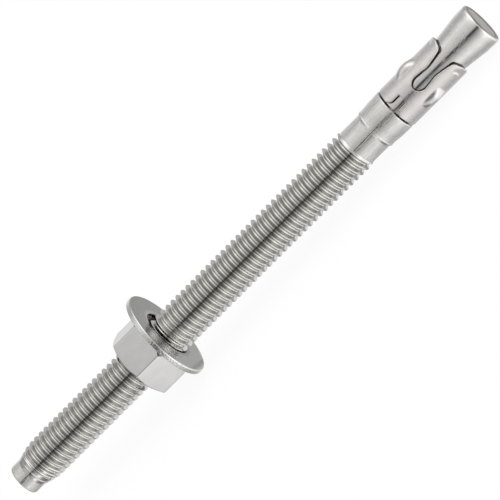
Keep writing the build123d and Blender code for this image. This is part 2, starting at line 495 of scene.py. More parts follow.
@dataclass(frozen=True)
class Steel:
    """A bare stainless-steel surface, with its fine lines, its unevenness, and its soil and painted
    shade.
    """

    name: str
    colour: Colour
    soil_and_shade: Colour                    # the filter that soil and painted shade lay over the colour
    roughness: float
    grain: Grain = Grain.EVEN
    grain_pitch: float = 0.12       # between fine lines
    grain_stretch: float = 40.0     # how many pitches long they are, where they have a way
    grain_depth: float = 0.0006
    ripple_pitch: float = 2.6       # between slow swells
    ripple_across: float = 0.7      # their width, as a share of that
    ripple_depth: float = 0.004
    mottle: float = 0.03            # share of the colour that drifts from place to place
    mottle_size: tuple[float, float] = (3.1, 2.3)
    line_shade: float = 0.07        # how much darker the lines' floors are
    line_gloss: float = 0.10        # how far the roughness follows the lines
    patch_gloss: float = 0.12       # and how far it drifts in patches
    patch_size: float = 0.9
    matt_roughness: float = 0.62    # of the fine matt streaks between the burnished ones
    matt_level: float = 0.0         # 0 for none of them, 0.5 for half and half

    def build(self, axis: AnchorAxis) -> bpy.types.Material:
        """Make the material.

        Args:
            axis: The axis of the piece that it is for.

        Returns:
            The material.
        """
        steel = bpy.data.materials.new(self.name)
        steel.use_nodes = True
        sheet = NodeSheet(steel.node_tree)
        at = Surface.on(sheet, axis)
        lines = self.lines(at)
        relief = sheet.node("ShaderNodeBump", None, {
            "Strength": 1.0, "Distance": MM, "Height": self.height(at, lines)})
        shader = sheet.node("ShaderNodeBsdfPrincipled", None, {
            "Base Color": self.shade(at, lines), "Metallic": 1.0,
            "Roughness": self.rough(at, lines), "Normal": relief})
        sheet.node("ShaderNodeOutputMaterial", None, {"Surface": shader})
        return steel

    def shade(self, at: Surface, lines: Wire) -> Wire:
        """The colour, with its drift, its lines, and its soil and painted shade.

        Args:
            at: A point of the surface.
            lines: The fine lines there.

        Returns:
            The colour there.
        """
        drift = at.noise(Pattern.DRIFT, *self.mottle_size, detail=3.0)
        colour = at.sheet.blend(
            drift.between(0.3, 0.7), self.toned(-self.mottle), self.toned(self.mottle))
        colour = at.sheet.tint(colour, (1 - self.line_shade,) * 3, lines.between(0.62, 0.35))
        # painted shade and soil, laid on by each steel's own mask
        return at.sheet.tint(colour, self.soil_and_shade, self.shade_and_soil(at))

    def rough(self, at: Surface, lines: Wire) -> Wire:
        """The roughness, with its lines, its patches and its matt streaks.

        Args:
            at: A point of the surface.
            lines: The fine lines there.

        Returns:
            The roughness there.
        """
        patches = at.noise(Pattern.PATCHES, self.patch_size, self.patch_size)
        plain = (self.sheen(at) + (lines - 0.5) * self.line_gloss
                 + (patches - 0.5) * self.patch_gloss)
        streak = (lines + (self.matted(at) - 0.5) * 0.5).between(0.47, 0.53)
        return plain + streak * (self.matt_roughness - plain)

    def height(self, at: Surface, lines: Wire) -> Wire:
        """The fine relief: lines, ripples and marks of the making.

        Args:
            at: A point of the surface.
            lines: The fine lines there.

        Returns:
            The height there, in millimetres.
        """
        ripples = at.noise(
            Pattern.RIPPLES, self.ripple_pitch, self.ripple_pitch * self.ripple_across)
        return lines * self.grain_depth + ripples * self.ripple_depth + self.relief(at)

    def toned(self, change: float) -> Colour:
        """The steel's colour made lighter or darker by a share."""
        red, green, blue = (channel * (1 + change) for channel in self.colour)
        return red, green, blue

    def lines(self, at: Surface) -> Wire:
        """The fine lines that rolling, drawing or tumbling left.

        Args:
            at: A point of the surface.

        Returns:
            Noise around 0.5.
        """
        stretch = {Grain.LENGTHWISE: self.grain_stretch, Grain.EVEN: 1.0}[self.grain]
        return at.noise(
            Pattern.LINES, self.grain_pitch * stretch, self.grain_pitch, detail=3.0)

    def sheen(self, at: Surface) -> Value:
        """The roughness before the lines and the wear are added."""
        return self.roughness

    def matted(self, at: Surface) -> Value:
        """How much of the surface is matt streaks: 0 for none, 0.5 for half."""
        return self.matt_level

    def shade_and_soil(self, at: Surface) -> Value:
        """Where soil and painted shade darken the colour, from 0 to 1."""
        return 0.0

    def relief(self, at: Surface) -> Value:
        """Marks of the making that stand proud or sunk, in millimetres."""
        return 0.0


@dataclass(frozen=True)
class StudSteel(Steel):
    """The stud's steel: painted shade in the thread's grooves and on the head's face, drawn on the
    shank and burnished on the head.
    """

    groove_top: float = 6.05
    groove_floor: float = 5.25
    # Painted shade down in the thread's grooves
    groove_shade: float = 0.21
    thread_rear: tuple[float, float] = (6.0, 8.0)   # where the rolled finish sets in
    thread_front: float = 131.0
    neck_rear: float = 145.6
    head_rear: float = 173.6
    point_front: float = 3.6
    recess: tuple[float, float] = (177.2, 5.0)      # its floor's station, and its radius
    edge_shade: float = 0.13         # painted shade on the head's rounded edge
    rim_shade: float = 0.47          # how much more painted shade on the flat rim round the recess
    rolled: float = 0.03            # how much smoother the thread is
    die_marks: float = 0.45         # depth of those in the recess
    # Of the point, the thread, the shank, the neck, the head and the floor of the recess
    matt_levels: tuple[float, ...] = (0.5, 0.12, 0.48, 0.30, 0.0, 0.7)

    def sheen(self, at: Surface) -> Value:
        """Smoother on the rolled thread."""
        thread = at.station.between(self.thread_front + 0.2, self.thread_front - 0.2)
        return self.roughness - thread * at.station.between(*self.thread_rear) * self.rolled

    def matted(self, at: Surface) -> Value:
        """The matt streaks along the stud: point, thread, shank, neck, head and recess.

        Args:
            at: A point of the surface.

        Returns:
            Their share there.
        """
        starts = (self.point_front, self.thread_front, self.neck_rear, self.head_rear)
        share: Value = self.matt_levels[0]
        for start, before, level in zip(starts, self.matt_levels, self.matt_levels[1:]):
            share = at.station.between(start - 0.15, start + 0.15) * (level - before) + share
        station, radius = self.recess
        within = at.radius.between(radius, radius - 0.2) * at.station.between(
            station - 0.1, station + 0.1)
        return share + within * (self.matt_levels[-1] - self.matt_levels[-2])

    def relief(self, at: Surface) -> Value:
        """The unevenness that the die left on the floor of the recess.

        Args:
            at: A point of the surface.

        Returns:
            The height there, in millimetres.
        """
        station, radius = self.recess
        floor = at.radius.between(radius, radius - 0.3) * at.station.between(
            station - 0.1, station + 0.1)
        return floor * at.noise(Pattern.DIE_MARKS, 0.7, 0.7, detail=3.0) * self.die_marks

    def shade_and_soil(self, at: Surface) -> Value:
        """Painted shade down in the grooves, and on the head's edge and the flat rim round the
        recess.

        Args:
            at: A point of the surface.

        Returns:
            Its share there.
        """
        groove = at.radius.between(self.groove_top, self.groove_floor)
        thread = at.station.between(self.thread_front + 0.4, self.thread_front - 0.8)
        tail = at.station.between(5.5, 9.0)
        station, radius = self.recess
        rim = at.station.between(station + 0.3, station + 0.45) * at.radius.between(
            radius - 0.55, radius - 0.4)
        inner = at.radius.between(radius + 0.9, radius + 0.55)
        # painted shade: in the thread's grooves, on the head's edge and on its flat rim
        return groove * thread * tail * self.groove_shade + rim * (
            inner * self.rim_shade + self.edge_shade)


@dataclass(frozen=True)
class SheetSteel(Steel):
    """The clip's steel: satin rolled sheet, with painted shade on its sheared edge walls."""

    wall_shade_below: float = 6.02     # the radius under which the sheet's edge walls carry painted shade

    def shade_and_soil(self, at: Surface) -> Value:
        """Painted shade all over the sheared edge walls."""
        return at.radius.between(self.wall_shade_below + 0.12, self.wall_shade_below)


@dataclass(frozen=True)
class WasherSteel(Steel):
    """The washer's steel: tumbled matt, with a torn band on the rim where the punch broke out."""

    rim_radius: float = 13.3
    hole_radius: float = 7.10
    torn_front: float = 58.5
    torn_turn: float = 118.0        # where the torn band is widest, in degrees
    tear_size: tuple[float, float] = (0.5, 0.6)
    tear_depth: float = 0.14
    pit_soil: float = 0.35

    def torn(self, at: Surface) -> Wire:
        """Where the rim is torn, from 0 to 1.

        Args:
            at: A point of the surface.

        Returns:
            How far it is torn there.
        """
        turn = math.radians(self.torn_turn)
        toward = at.high * (math.cos(turn) / self.rim_radius) - at.wide * (
            math.sin(turn) / self.rim_radius)
        rim = at.radius.between(self.rim_radius - 0.1, self.rim_radius + 0.1)
        band = at.station.between(self.torn_front, self.torn_front - 0.4)
        return rim * band * toward.between(0.1, 0.7)

    def shade_and_soil(self, at: Surface) -> Value:
        """Painted shade on the wall of the hole, and soil in the pits of the torn rim.

        Args:
            at: A point of the surface.

        Returns:
            Its share there.
        """
        pits = at.noise(Pattern.TEARS, *self.tear_size).between(0.50, 0.62)
        # painted shade on the hole's wall
        hole = at.radius.between(self.hole_radius + 0.35, self.hole_radius + 0.1)
        return self.torn(at) * pits * self.pit_soil + hole

    def relief(self, at: Surface) -> Value:
        """The torn rim's unevenness, in millimetres."""
        return self.torn(at) * at.noise(Pattern.TEARS, *self.tear_size) * self.tear_depth


@dataclass(frozen=True)
class NutSteel(Steel):
    """The nut's steel: smooth, with painted shade in the bore and a little on every flat but the
    one left lighter as lit.
    """

    bore_radius: float = 7.4
    lit_flat_turn: float = 103.5      # of the flat left without painted shade, as the lit one, in degrees
    lit_flat_edge: tuple[float, float] = (0.875, 0.855)   # cosines of the turns where it ends
    flat_shade: float = 0.16          # painted shade on the others

    def shade_and_soil(self, at: Surface) -> Value:
        """Painted shade in the bore and round its mouth, and thinly on every flat but the lit one.

        Args:
            at: A point of the surface.

        Returns:
            Its share there.
        """
        turn = math.radians(self.lit_flat_turn)
        toward = (at.high * math.cos(turn) - at.wide * math.sin(turn)) / at.radius
        bore = at.radius.between(self.bore_radius, self.bore_radius - 0.6)
        # painted shade: in the bore, and thinly on every flat but the lit one
        return bore + toward.between(*self.lit_flat_edge) * (1 - bore) * self.flat_shade


# ---- the thread ------------------------------------------------------------------------------
@dataclass(frozen=True)
class Thread:
    """A right-handed sixty-degree thread."""

    pitch: float = 25.4 / 13
    crest_radius: float = 6.22
    root_radius: float = 5.07
    crest_station: float = 91.19    # of a crest, straight above the axis
    flank_angle: float = 30.0       # from square to the axis, in degrees
    crest_flat: float = 0.20
    crest_blend: float = 0.10
    root_blend: float = 0.22

    def radius(self, station: Any, turn: Any) -> np.ndarray:
        """The thread's radius at stations and turns.

        Args:
            station: Stations in millimetres, a number or an array.
            turn: Turns in radians, a number or an array.

        Returns:
            The radii in millimetres.
        """
        lag = station - self.crest_station - self.pitch * turn / (2 * math.pi)
        aside = np.abs((lag + self.pitch / 2) % self.pitch - self.pitch / 2)
        slope = math.tan(math.radians(self.flank_angle))
        flank = self.crest_radius - (aside - self.crest_flat / 2) / slope
        return soft_most(soft_least(self.crest_radius, flank, self.crest_blend),
                         self.root_radius, self.root_blend)

    def turn_of_crest(self, station: float) -> float:
        """The turn, in radians, at which a crest passes a station."""
        return (station - self.crest_station) / self.pitch * 2 * math.pi


# ---- stud ------------------------------------------------------------------------------------
@dataclass(frozen=True)
class Stud:
    """One-piece stud: point, threaded length, shank, collar, neck, cone and head."""

    axis: AnchorAxis
    thread: Thread
    length: float = 177.8
    point_radius: float = 4.765
    point_edge: float = 0.45
    point_middle: float = 1.6       # radius of the smallest ring of the point's mesh
    # Station and radius down the cone that leads into the thread
    lead_in: tuple[tuple[float, float], ...] = (
        (3.3, 4.765), (3.8, 4.90), (5.6, 5.40), (6.6, 5.68), (8.2, 6.02), (10.0, 6.14),
        (12.2, 6.22))
    lead_in_blend: float = 0.07
    runout_rear: tuple[float, float] = (129.8, 130.4)      # at its shortest turn and longest
    runout_front: tuple[float, float] = (130.9, 131.6)
    runout_turn: float = 160.0      # of its longest turn, in degrees
    shank_radius: float = 5.70
    collar_rear: float = 138.2
    collar_front: float = 145.72
    collar_ramp: float = 0.75       # length of the step up to it
    collar_radii: tuple[float, float, float] = (6.01, 6.23, 6.32)
    collar_lip: float = 0.08        # left proud at the collar's rear edge
    collar_edge: float = 0.36
    neck_radius: float = 5.20
    neck_front: float = 164.97
    cone_front: float = 173.5
    cone_radius: float = 6.28
    head_front: float = 175.7
    head_radius: float = 6.36
    head_edge: float = 0.85
    recess_radius: float = 4.9
    recess_floor_radius: float = 4.6
    recess_depth: float = 0.35
    around: int = 72
    helix_rear: float = 0.9         # where the spiral mesh starts, on the plain point
    helix_turns: int = 67
    # The rows of one turn, past its start, closer together on the crest and in the root
    helix_rows: tuple[float, ...] = (
        0.0, 0.10, 0.19, 0.27, 0.40, 0.54, 0.68, 0.80, 0.89,
        0.977, 1.065, 1.155, 1.275, 1.415, 1.555, 1.685, 1.765, 1.855)

    def build(self, steel: bpy.types.Material) -> bpy.types.Object:
        """Mesh the stud and dress it.

        Args:
            steel: Its material.

        Returns:
            The finished piece.
        """
        draft = MeshDraft()
        turns = self.columns()
        rear = [draft.add(self.axis.place(x, r, turns)) for x, r in self.rear_profile()]
        front = [draft.add(self.axis.place(x, r, turns)) for x, r in self.front_profile()]
        draft.cap(rear[0], self.axis.place(0.0, 0.0, 0.0))
        draft.rings(rear)
        self.join_helix(draft, rear[-1], self.helix(draft, turns), front[0])
        draft.rings(front)
        floor = self.length - self.recess_depth
        draft.cap(front[-1], self.axis.place(floor, 0.0, 0.0))
        return draft.build("stud_body", steel)

    def columns(self) -> np.ndarray:
        """The turns of the mesh's columns, so placed that the first row is a root."""
        first = self.thread.turn_of_crest(self.helix_rear + self.thread.pitch / 2)
        return first + np.linspace(0, 2 * math.pi, self.around, endpoint=False)

    def rear_profile(self) -> np.ndarray:
        """The rings from the tail's middle to the start of the spiral mesh.

        Returns:
            Rows of station and radius.
        """
        return rounded_profile([
            Corner(0.0, self.point_middle),
            Corner(0.0, self.point_radius, self.point_edge),
            Corner(self.helix_rear - 0.1, self.point_radius),
        ], steps=5)

    def front_profile(self) -> np.ndarray:
        """The rings from the end of the spiral mesh to the middle of the head's face.

        Returns:
            Rows of station and radius.
        """
        first, middle, last = self.collar_radii
        plain = self.helix_rear + (self.helix_turns + 1) * self.thread.pitch + 0.1
        floor = self.length - self.recess_depth
        return rounded_profile([
            Corner(plain, self.shank_radius),
            Corner(self.collar_rear - self.collar_ramp, self.shank_radius, 0.12),
            Corner(self.collar_rear, first + self.collar_lip, 0.10),
            Corner(self.collar_rear + 0.30, first, 0.10),
            Corner(self.collar_rear + 1.4, first, 1.2),
            Corner(self.collar_rear + 3.5, middle, 2.0),
            Corner(self.collar_front, last, self.collar_edge),
            Corner(self.collar_front, self.neck_radius + 0.3),
            Corner(self.collar_front + 0.3, self.neck_radius),
            Corner(self.neck_front, self.neck_radius, 1.5),
            Corner(self.cone_front, self.cone_radius, 0.6),
            Corner(self.head_front, self.head_radius, 1.5),
            Corner(self.length, self.head_radius, self.head_edge),
            Corner(self.length, self.recess_radius, 0.08),
            Corner(floor, self.recess_floor_radius, 0.12),
            Corner(floor, self.recess_floor_radius / 2),
        ], steps=5)

    def surface(self, station: np.ndarray, turn: np.ndarray) -> np.ndarray:
        """Radii over the spiral mesh.

        Args:
            station: Stations in millimetres.
            turn: Turns in radians.

        Returns:
            The radii: the thread, cut down to the lead-in cone and run out into the shank.
        """
        blank = np.interp(station, *zip((0.0, self.point_radius), *self.lead_in))
        cut = soft_least(self.thread.radius(station, turn), blank, self.lead_in_blend)
        full = np.where(blank < self.thread.crest_radius, cut, self.thread.radius(station, turn))
        late = 0.5 + 0.5 * np.cos(turn - math.radians(self.runout_turn))
        begins, ends = (low + (high - low) * late for low, high in (
            self.runout_rear, self.runout_front))
        fade = np.clip((station - begins) / (ends - begins), 0, 1)
        fade = fade * fade * (3 - 2 * fade)
        return full * (1 - fade) + self.shank_radius * fade

    def helix(self, draft: MeshDraft, turns: np.ndarray) -> np.ndarray:
        """Add the points of the spiral mesh, whose rows follow the thread.

        Args:
            draft: The mesh that they join.
            turns: The turns of its columns.

        Returns:
            The points' numbers, a row for each line that runs along the thread.
        """
        pitch = self.thread.pitch
        steps = [t * pitch + row for t in range(self.helix_turns) for row in self.helix_rows]
        steps.append(self.helix_turns * pitch)
        climb = np.arange(self.around) / self.around * pitch
        stations = self.helix_rear + np.array(steps)[:, None] + climb[None, :]
        turn = np.broadcast_to(turns, stations.shape)
        return draft.add(self.axis.place(stations, self.surface(stations, turn), turn))

    def join_helix(self, draft: MeshDraft, rear: np.ndarray, spiral: np.ndarray,
                   front: np.ndarray) -> None:
        """Face the spiral mesh and sew its slanting ends to plain rings.

        Args:
            draft: The mesh.
            rear: The ring behind the spiral.
            spiral: The spiral's points, row by row.
            front: The ring ahead of it.
        """
        rise = len(self.helix_rows)
        for low, high in zip(spiral, spiral[1:]):
            draft.strip(low, high, closed=False)
        first, last = spiral[:, 0], spiral[:, -1]
        for row in range(len(spiral) - 1 - rise):
            draft.face(last[row], first[row + rise], first[row + rise + 1], last[row + 1])
        draft.strip(rear, spiral[0], closed=False)
        draft.face(rear[-1], rear[0], first[0])
        for row in range(rise):
            draft.face(rear[-1], first[row], first[row + 1])
        draft.face(rear[-1], first[rise], last[0])
        draft.strip(spiral[-1], front, closed=False)
        end = len(spiral) - 1
        draft.face(last[end], front[0], front[-1])
        for row in range(end - rise, end):
            draft.face(front[0], last[row + 1], last[row])
        draft.face(front[0], last[end - rise], first[end])


# ---- expansion clip --------------------------------------------------------------------------
@dataclass(frozen=True)
class ClipPlan:
    """One third of the clip's sheet laid out flat, with a pair of slots down its middle."""

    points: np.ndarray              # station and distance round, in millimetres
    triangles: np.ndarray
    margin: np.ndarray              # distance from the nearest free edge
    rims: tuple[np.ndarray, ...]    # the free edges, as rows of point numbers


@dataclass(frozen=True)
class ExpansionClip:
    """Sheet sleeve rolled round the neck, slit from both ends, with a bump on each finger."""

    axis: AnchorAxis
    rear: float = 146.08
    length: float = 20.47
    turned: float = -2.5            # a bump's turn from straight up, in degrees
    outer_radius: float = 6.38
    sheet: float = 0.90
    edge_rounding: float = 0.30
    inner_rounding: float = 0.22
    fingers: int = 3
    rear_slot_length: float = 3.95
    rear_slot_half: float = 1.425
    rear_slot_corner: float = 0.35
    mouth: float = 1.7
    bridge: float = 3.82
    front_slot_aside: float = 0.334     # from midway between two bumps, round the outer face
    tip_slope: tuple[float, float] = (0.03, 0.9)    # a fingertip's fall, and how far round
    bulb_radius: float = 2.18
    waist: tuple[float, float] = (6.45, 1.71)     # past the closed end, half width
    flare: tuple[float, float] = (9.675, 2.28)
    tip_corner: tuple[float, float] = (12.1, 2.95)
    tip_corner_radius: float = 1.5
    bump_station: float = 9.3
    bump_length: float = 6.5
    bump_width: float = 3.9
    bump_rise: float = 1.0
    bump_arch: float = 2.3          # power of the arch across: 2 is round, more is flatter
    bump_fall: float = 0.4          # how fast the unused part of the arch falls away outside
    bump_foot: float = 0.10         # fillet round a bump, as a height
    bump_hollow: float = 0.97       # share of a bump's rise that its back follows
    dent_station: float = 18.3      # of the crescent's middle, from the rear
    dent_aside: float = -0.6
    dent_radius: float = 1.3
    dent_depth: float = 0.20
    dent_drop: tuple[float, float] = (-0.20, 0.22)      # past the arc, where it falls
    dent_back: tuple[float, float] = (1.5, 0.25)        # where it is over, and where it starts up
    dent_spread: float = 50.0       # over which it fades, in degrees
    spacing: float = 0.42
    row_height: float = 0.866       # of the mesh's rows, as a share of their points' spacing
    margins: tuple[float, ...] = (0.03, 0.08, 0.15, 0.23, 0.32, 0.45)   # of rows by an edge
    # Patches with a finer mesh: middle station from the rear, half length and half width
    fine_patches: tuple[tuple[float, float, float], ...] = ((9.3, 3.95, 2.5), (18.5, 1.1, 2.4))

    @property
    def front(self) -> float:
        """The station of the fingertips."""
        return self.rear + self.length

    @property
    def half(self) -> float:
        """Half the way from one slot to the next, round the outer face."""
        return self.outer_radius * math.pi / self.fingers

    def build(self, steel: bpy.types.Material) -> bpy.types.Object:
        """Mesh the clip and dress it.

        Args:
            steel: Its material.

        Returns:
            The finished piece.
        """
        draft = MeshDraft()
        plan = self.plan()
        for finger in range(self.fingers):
            slot = (2 * finger + 1) * math.pi / self.fingers
            self.add_third(draft, plan, slot + math.radians(self.turned))
        return draft.build("expansion_clip_sheet", steel, sharp=50.0, weld=0.002)

    def add_third(self, draft: MeshDraft, plan: ClipPlan, slot: float) -> None:
        """Roll one third of the sheet up and add it.

        Args:
            draft: The mesh.
            plan: The flat third.
            slot: The turn of its slots' middle, in radians.
        """
        station, around = plan.points.T
        turn = around / self.outer_radius
        lift = self.bump_height(station, around)
        outside = self.outer_radius + lift - self.edge_drop(plan.margin, self.edge_rounding)
        outside -= self.dent(station, around)
        inside = self.outer_radius - self.sheet + self.bump_hollow * lift
        inside += self.edge_drop(plan.margin, self.inner_rounding)
        top = draft.add(self.axis.place(station, outside, turn + slot))
        bottom = draft.add(self.axis.place(station, inside, turn + slot))
        for a, b, c in plan.triangles:
            draft.face(top[a], top[b], top[c])
            draft.face(bottom[a], bottom[c], bottom[b])
        for rim in plan.rims:
            low = self.outer_radius - self.sheet + self.inner_rounding
            high = self.outer_radius - self.edge_rounding
            edge = plan.points[rim]
            middle = draft.add(self.axis.place(
                edge[:, 0], (low + high) / 2, edge[:, 1] / self.outer_radius + slot))
            draft.strip(top[rim], middle, closed=False)
            draft.strip(middle, bottom[rim], closed=False)

    def edge_drop(self, margin: np.ndarray, rounding: float) -> np.ndarray:
        """How far a rounded edge falls away, from the distance to it."""
        short = np.clip(rounding - margin, 0, rounding)
        return rounding - np.sqrt(rounding ** 2 - short ** 2)

    def bump_height(self, station: np.ndarray, around: np.ndarray) -> np.ndarray:
        """How far the bumps raise the outer face.

        Args:
            station: Stations in millimetres.
            around: Distances round from the slots' middle.

        Returns:
            The heights. A bump is straight-sided, and arched both along and across.
        """
        along = (station - self.rear - self.bump_station) / (self.bump_length / 2)
        aside = (self.half - np.abs(around)) / (self.bump_width / 2)
        arch = np.clip(1 - along ** 2, 0, None)
        arch = arch * np.clip(1 - np.abs(aside) ** self.bump_arch, 0, None)
        outside = np.maximum(np.maximum(np.abs(along), aside) - 1, 0)
        return soft_most(
            self.bump_rise * arch - self.bump_fall * outside, 0.0, self.bump_foot)

    def dent(self, station: np.ndarray, around: np.ndarray) -> np.ndarray:
        """How far the crescent dent near each fingertip is pressed in.

        Args:
            station: Stations in millimetres.
            around: Distances round from the slots' middle.

        Returns:
            The depths: a short drop on an arc that bulges to the tip, and a slow way back up.
        """
        along = station - self.rear - self.dent_station + self.dent_radius
        past = np.where(around > 0, around - self.half, around + self.half)
        aside = past - self.dent_aside
        beyond = np.hypot(along, aside) - self.dent_radius
        drop, back = (
            np.clip((beyond - low) / (high - low), 0, 1)
            for low, high in (self.dent_drop, self.dent_back))
        off = np.abs(np.arctan2(aside, along)) / math.radians(self.dent_spread)
        spread = np.clip(1.25 - off, 0, 1)
        ease = [share * share * (3 - 2 * share) for share in (drop, back, spread)]
        return self.dent_depth * ease[0] * ease[1] * ease[2]

    def rear_edge(self) -> np.ndarray:
        """The free edge at the rear, round one slot.

        Returns:
            Rows of station and distance round.
        """
        closed = self.rear + self.rear_slot_length
        half, corner, mouth = self.rear_slot_half, self.rear_slot_corner, self.mouth
        flank = [
            *self.arc((self.rear + mouth, half + mouth), mouth, 180, 270, 12),
            *self.arc((closed - corner, half - corner), corner, 90, 0, 6),
        ]
        return self.mirrored([(self.rear, self.half), *flank, (closed, 0.0)])

    def front_edge(self) -> np.ndarray:
        """The free edge at the front, along the tips and round one slot.

        Returns:
            Rows of station and distance round.
        """
        closed = self.rear + self.rear_slot_length + self.bridge
        corner = (closed + self.tip_corner[0], self.tip_corner[1])
        fall, reach = self.tip_slope
        tip = [(self.front, self.half), (self.front - fall, self.half - reach)]
        side = self.smooth([
            (closed + self.bulb_radius, self.bulb_radius),
            (closed + (self.bulb_radius + self.waist[0]) / 2,
             (self.bulb_radius + self.waist[1]) / 2),
            (closed + self.waist[0], self.waist[1]),
            (closed + self.flare[0], self.flare[1]),
            corner,
        ])
        rounded = rounded_profile([
            Corner(*tip[1]), Corner(*corner, self.tip_corner_radius), Corner(*side[-9])], 9)
        bulb = self.arc((closed + self.bulb_radius, 0.0), self.bulb_radius, 90, 180, 12)
        edge = self.mirrored([tip[0], *map(tuple, rounded), *side[-10:0:-1], *bulb])
        # The slot moves aside, and the fingers' middles stay where they are
        edge[:, 1] += self.front_slot_aside * (1 - (edge[:, 1] / self.half) ** 4)
        return edge

    @staticmethod
    def arc(centre: tuple[float, float], radius: float, start: float, end: float,
            steps: int) -> list[tuple[float, float]]:
        """Points on an arc of the flat sheet.

        Args:
            centre: Its centre, as station and distance round.
            radius: Its radius.
            start: The angle it starts at, in degrees from the way to the head.
            end: The angle it ends at.
            steps: How many straight pieces stand for it.

        Returns:
            The points.
        """
        angles = np.radians(np.linspace(start, end, steps + 1))
        return [(centre[0] + radius * math.cos(a), centre[1] + radius * math.sin(a))
                for a in angles]

    @staticmethod
    def smooth(knots: Sequence[tuple[float, float]], steps: int = 12) -> list[tuple[float, float]]:
        """A smooth curve through knots.

        Args:
            knots: Points of the flat sheet.
            steps: How many straight pieces join two knots.

        Returns:
            The curve's points.
        """
        spots = np.array([knots[0], *knots, knots[-1]])
        spots[0, 0] -= 0.6
        spots[-1] = 2 * spots[-2] - spots[-3]
        found: list[tuple[float, float]] = []
        for before, start, end, after in zip(spots, spots[1:], spots[2:], spots[3:]):
            for t in np.linspace(0, 1, steps, endpoint=False):
                leave, meet = (end - before) / 2, (after - start) / 2
                found.append(tuple(
                    (2 * t ** 3 - 3 * t ** 2 + 1) * start + (t ** 3 - 2 * t ** 2 + t) * leave
                    + (3 * t ** 2 - 2 * t ** 3) * end + (t ** 3 - t ** 2) * meet))
        return [*found, tuple(spots[-2])]

    def mirrored(self, half_edge: Sequence[tuple[float, float]], pitch: float = 0.17) -> np.ndarray:
        """Divide half an edge evenly and add its mirror image.

        Args:
            half_edge: Its points, from a finger's middle to the slot's.
            pitch: The longest step between points.

        Returns:
            The whole edge, from one finger's middle to the next.
        """
        dense = [np.array(half_edge[0], float)]
        for point in half_edge[1:]:
            step = np.array(point) - dense[-1]
            length = float(np.hypot(*step))
            if length < 1e-4:
                continue
            pieces = max(1, math.ceil(length / pitch))
            start = dense[-1]
            dense += [start + step * (k + 1) / pieces for k in range(pieces)]
        edge = np.array(dense)
        edge[-1, 1] = 0.0
        return np.concatenate([edge, edge[-2::-1] * (1, -1)])

    @staticmethod
    def offset(edge: np.ndarray, distance: float, way: float) -> np.ndarray:
        """A line parallel to an edge.

        Args:
            edge: The edge's points.
            distance: How far away the line lies.
            way: 1 if the sheet is ahead of the edge, -1 if it is behind.

        Returns:
            The line's points, one for each of the edge's.
        """
        run = np.gradient(edge, axis=0)
        run[[0, -1]] = (0.0, run[len(run) // 2, 1])
        run /= np.hypot(*run.T)[:, None]
        square = np.stack([-run[:, 1], run[:, 0]], 1)
        square *= way * np.sign(square[len(square) // 2, 0])
        return edge + square * distance

    def plan(self) -> ClipPlan:
        """Lay one third of the sheet out flat and divide it into triangles.

        Returns:
            The flat third.
        """
        rear, front = self.rear_edge(), self.front_edge()
        rings = [self.kept(self.offset(edge, margin, way), rear, front, margin)
                 for edge, way in ((rear, 1.0), (front, -1.0)) for margin in self.margins]
        seam = self.seam_stations()
        seams = [np.stack([seam, np.full_like(seam, side)], 1) for side in (-self.half, self.half)]
        inner = np.array(list(self.fill(rear, front)))
        points = np.concatenate([rear, front, *seams, *rings, inner])
        outline = self.outline(len(rear), len(front), len(seam))
        found = delaunay_2d_cdt(
            [Vector(p) for p in points], [], [outline], 1, 1e-5, True)
        placed = np.array([tuple(p) for p in found[0]])
        triangles = np.array(found[2])
        triangles = triangles[self.within(placed[triangles].mean(1), points[outline])]
        number = {old: new for new, olds in enumerate(found[3]) for old in olds}
        rims = (np.array([number[k] for k in range(len(rear))]),
                np.array([number[k + len(rear)] for k in range(len(front))]))
        margin = self.distance(placed, self.segments(rear, front))
        return ClipPlan(placed, triangles, margin, rims)

    @staticmethod
    def outline(rear: int, front: int, seam: int) -> list[int]:
        """The loop round the flat third, from the counts of its edges' points.

        Args:
            rear: How many points the rear edge has.
            front: How many the front edge has.
            seam: How many lie along each finger's middle.

        Returns:
            The loop's point numbers, against the clock.
        """
        starts = (rear + front, rear + front + seam)
        right = list(range(starts[1], starts[1] + seam))
        left = list(range(starts[0], starts[0] + seam))
        return [*range(rear), *left, *range(rear + front - 1, rear - 1, -1), *right[::-1]]

    def seam_stations(self) -> np.ndarray:
        """Where the points along a finger's middle lie, without its two ends.

        Returns:
            Their stations.
        """
        middle = np.arange(self.rear + 0.7, self.front - 0.7, 0.24)
        return np.array([*(self.rear + m for m in self.margins), *middle,
                         *(self.front - m for m in reversed(self.margins))])

    def kept(self, ring: np.ndarray, rear: np.ndarray, front: np.ndarray,
             margin: float) -> np.ndarray:
        """The part of a parallel line that is inside the sheet and clear of its edges.

        Args:
            ring: The line's points.
            rear: The rear edge.
            front: The front edge.
            margin: How far from its own edge the line lies.

        Returns:
            The points that stay.
        """
        far = self.distance(ring, self.segments(rear, front)) > margin * 0.97
        inside = np.abs(ring[:, 1]) < self.half - 0.05
        return ring[far & inside]

    @staticmethod
    def segments(*edges: np.ndarray) -> np.ndarray:
        """The straight pieces of some edges, as pairs of points."""
        return np.concatenate([np.stack([edge[:-1], edge[1:]], 1) for edge in edges])

    def fill(self, rear: np.ndarray, front: np.ndarray) -> Iterator[tuple[float, float]]:
        """Points spread over the flat third, closer together on the bumps and the dents.

        Args:
            rear: The rear edge.
            front: The front edge.

        Yields:
            Station and distance round.
        """
        segments = self.segments(rear, front)
        for fine in (False, True):
            pitch = self.spacing / (2 if fine else 1)
            row = pitch * self.row_height
            x, u = np.meshgrid(np.arange(int(self.length / row)),
                               np.arange(int(2 * self.half / pitch) + 1), indexing="ij")
            spots = np.stack([self.rear + (x + 0.5) * row,
                              (u + 0.5 * (x % 2) + 0.25) * pitch - self.half], -1).reshape(-1, 2)
            aside = self.half - np.abs(spots[:, 1])
            patches = [(np.abs(spots[:, 0] - self.rear - middle) < reach) & (aside < width)
                       for middle, reach, width in self.fine_patches]
            clear = self.distance(spots, segments) > self.margins[-1] + pitch * 0.55
            clear &= aside > pitch * 0.45
            for spot in spots[clear & (np.any(patches, axis=0) == fine)]:
                yield tuple(spot)

